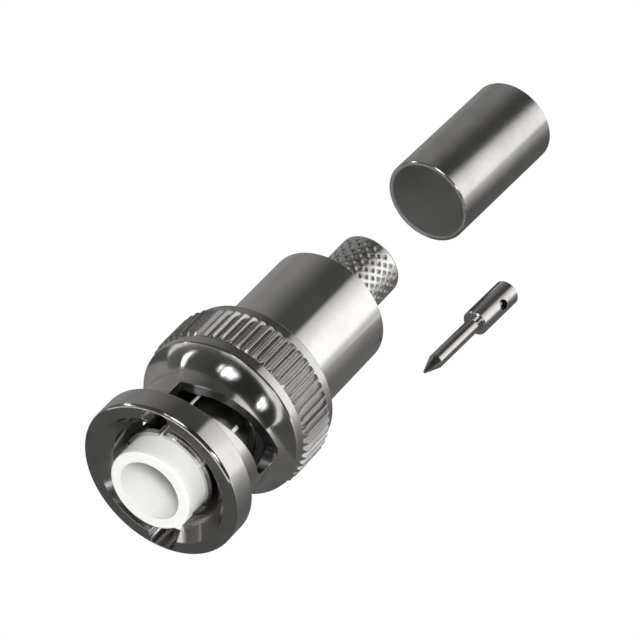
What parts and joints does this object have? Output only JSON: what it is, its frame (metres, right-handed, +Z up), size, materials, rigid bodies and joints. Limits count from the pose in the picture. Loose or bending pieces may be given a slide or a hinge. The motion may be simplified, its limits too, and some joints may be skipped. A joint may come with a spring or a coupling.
{
  "type": "coaxial crimp plug kit",
  "caption": "Bayonet-coupling high-voltage coaxial crimp plug with a knurled sprung nut, white insulator and pitted crimp stem, laid out with its loose centre pin and ferrule.",
  "frame": {"origin": "on the plug's axis, at the plane of the coupling nut's front face", "axes": "+Y along the plug's axis from the mating mouth to the cable end, +Z up from the surface that the kit lies on, +X towards the side that the loose pin lies on"},
  "size_m": [0.0167, 0.0624, 0.0153],
  "materials": {
    "nickel_nut": "polished nickel plate",
    "nickel_body": "polished nickel plate",
    "nickel_contact": "nickel-plated spring bronze",
    "spring_steel": "bright strip",
    "nickel_pin": "bright nickel plate",
    "nickel_ferrule": "satin nickel plate",
    "white_insulator": "turned fluoropolymer",
    "gasket_rubber": "moulded silicone"
  },
  "bodies": {
    "plug": {"plug_body": "nickel_body", "outer_contact": "nickel_contact", "gasket": "gasket_rubber", "front_insulator": "white_insulator", "rear_insulator": "white_insulator", "spring_washer_front": "spring_steel", "spring_washer_rear": "spring_steel", "contact_pin": "nickel_pin", "crimp_ferrule": "nickel_ferrule"},
    "nut_carrier": {"thrust_washer": "spring_steel"},
    "nut": {"coupling_nut": "nickel_nut", "nut_retaining_ring": "nickel_nut"}
  },
  "joints": [
    {"name": "nut_float", "type": "slide", "parent": "plug", "child": "nut_carrier", "axis": [0, -1, 0], "range_m": [0, 0.0011], "stiffness_N_per_m": 8000, "springref_m": -0.0003, "deforming": ["spring_washer_front", "spring_washer_rear"]},
    {"name": "nut_spin", "type": "hinge", "parent": "nut_carrier", "child": "nut", "pos_m": [0, 0, 0], "axis": [0, 1, 0], "continuous": true}
  ]
}
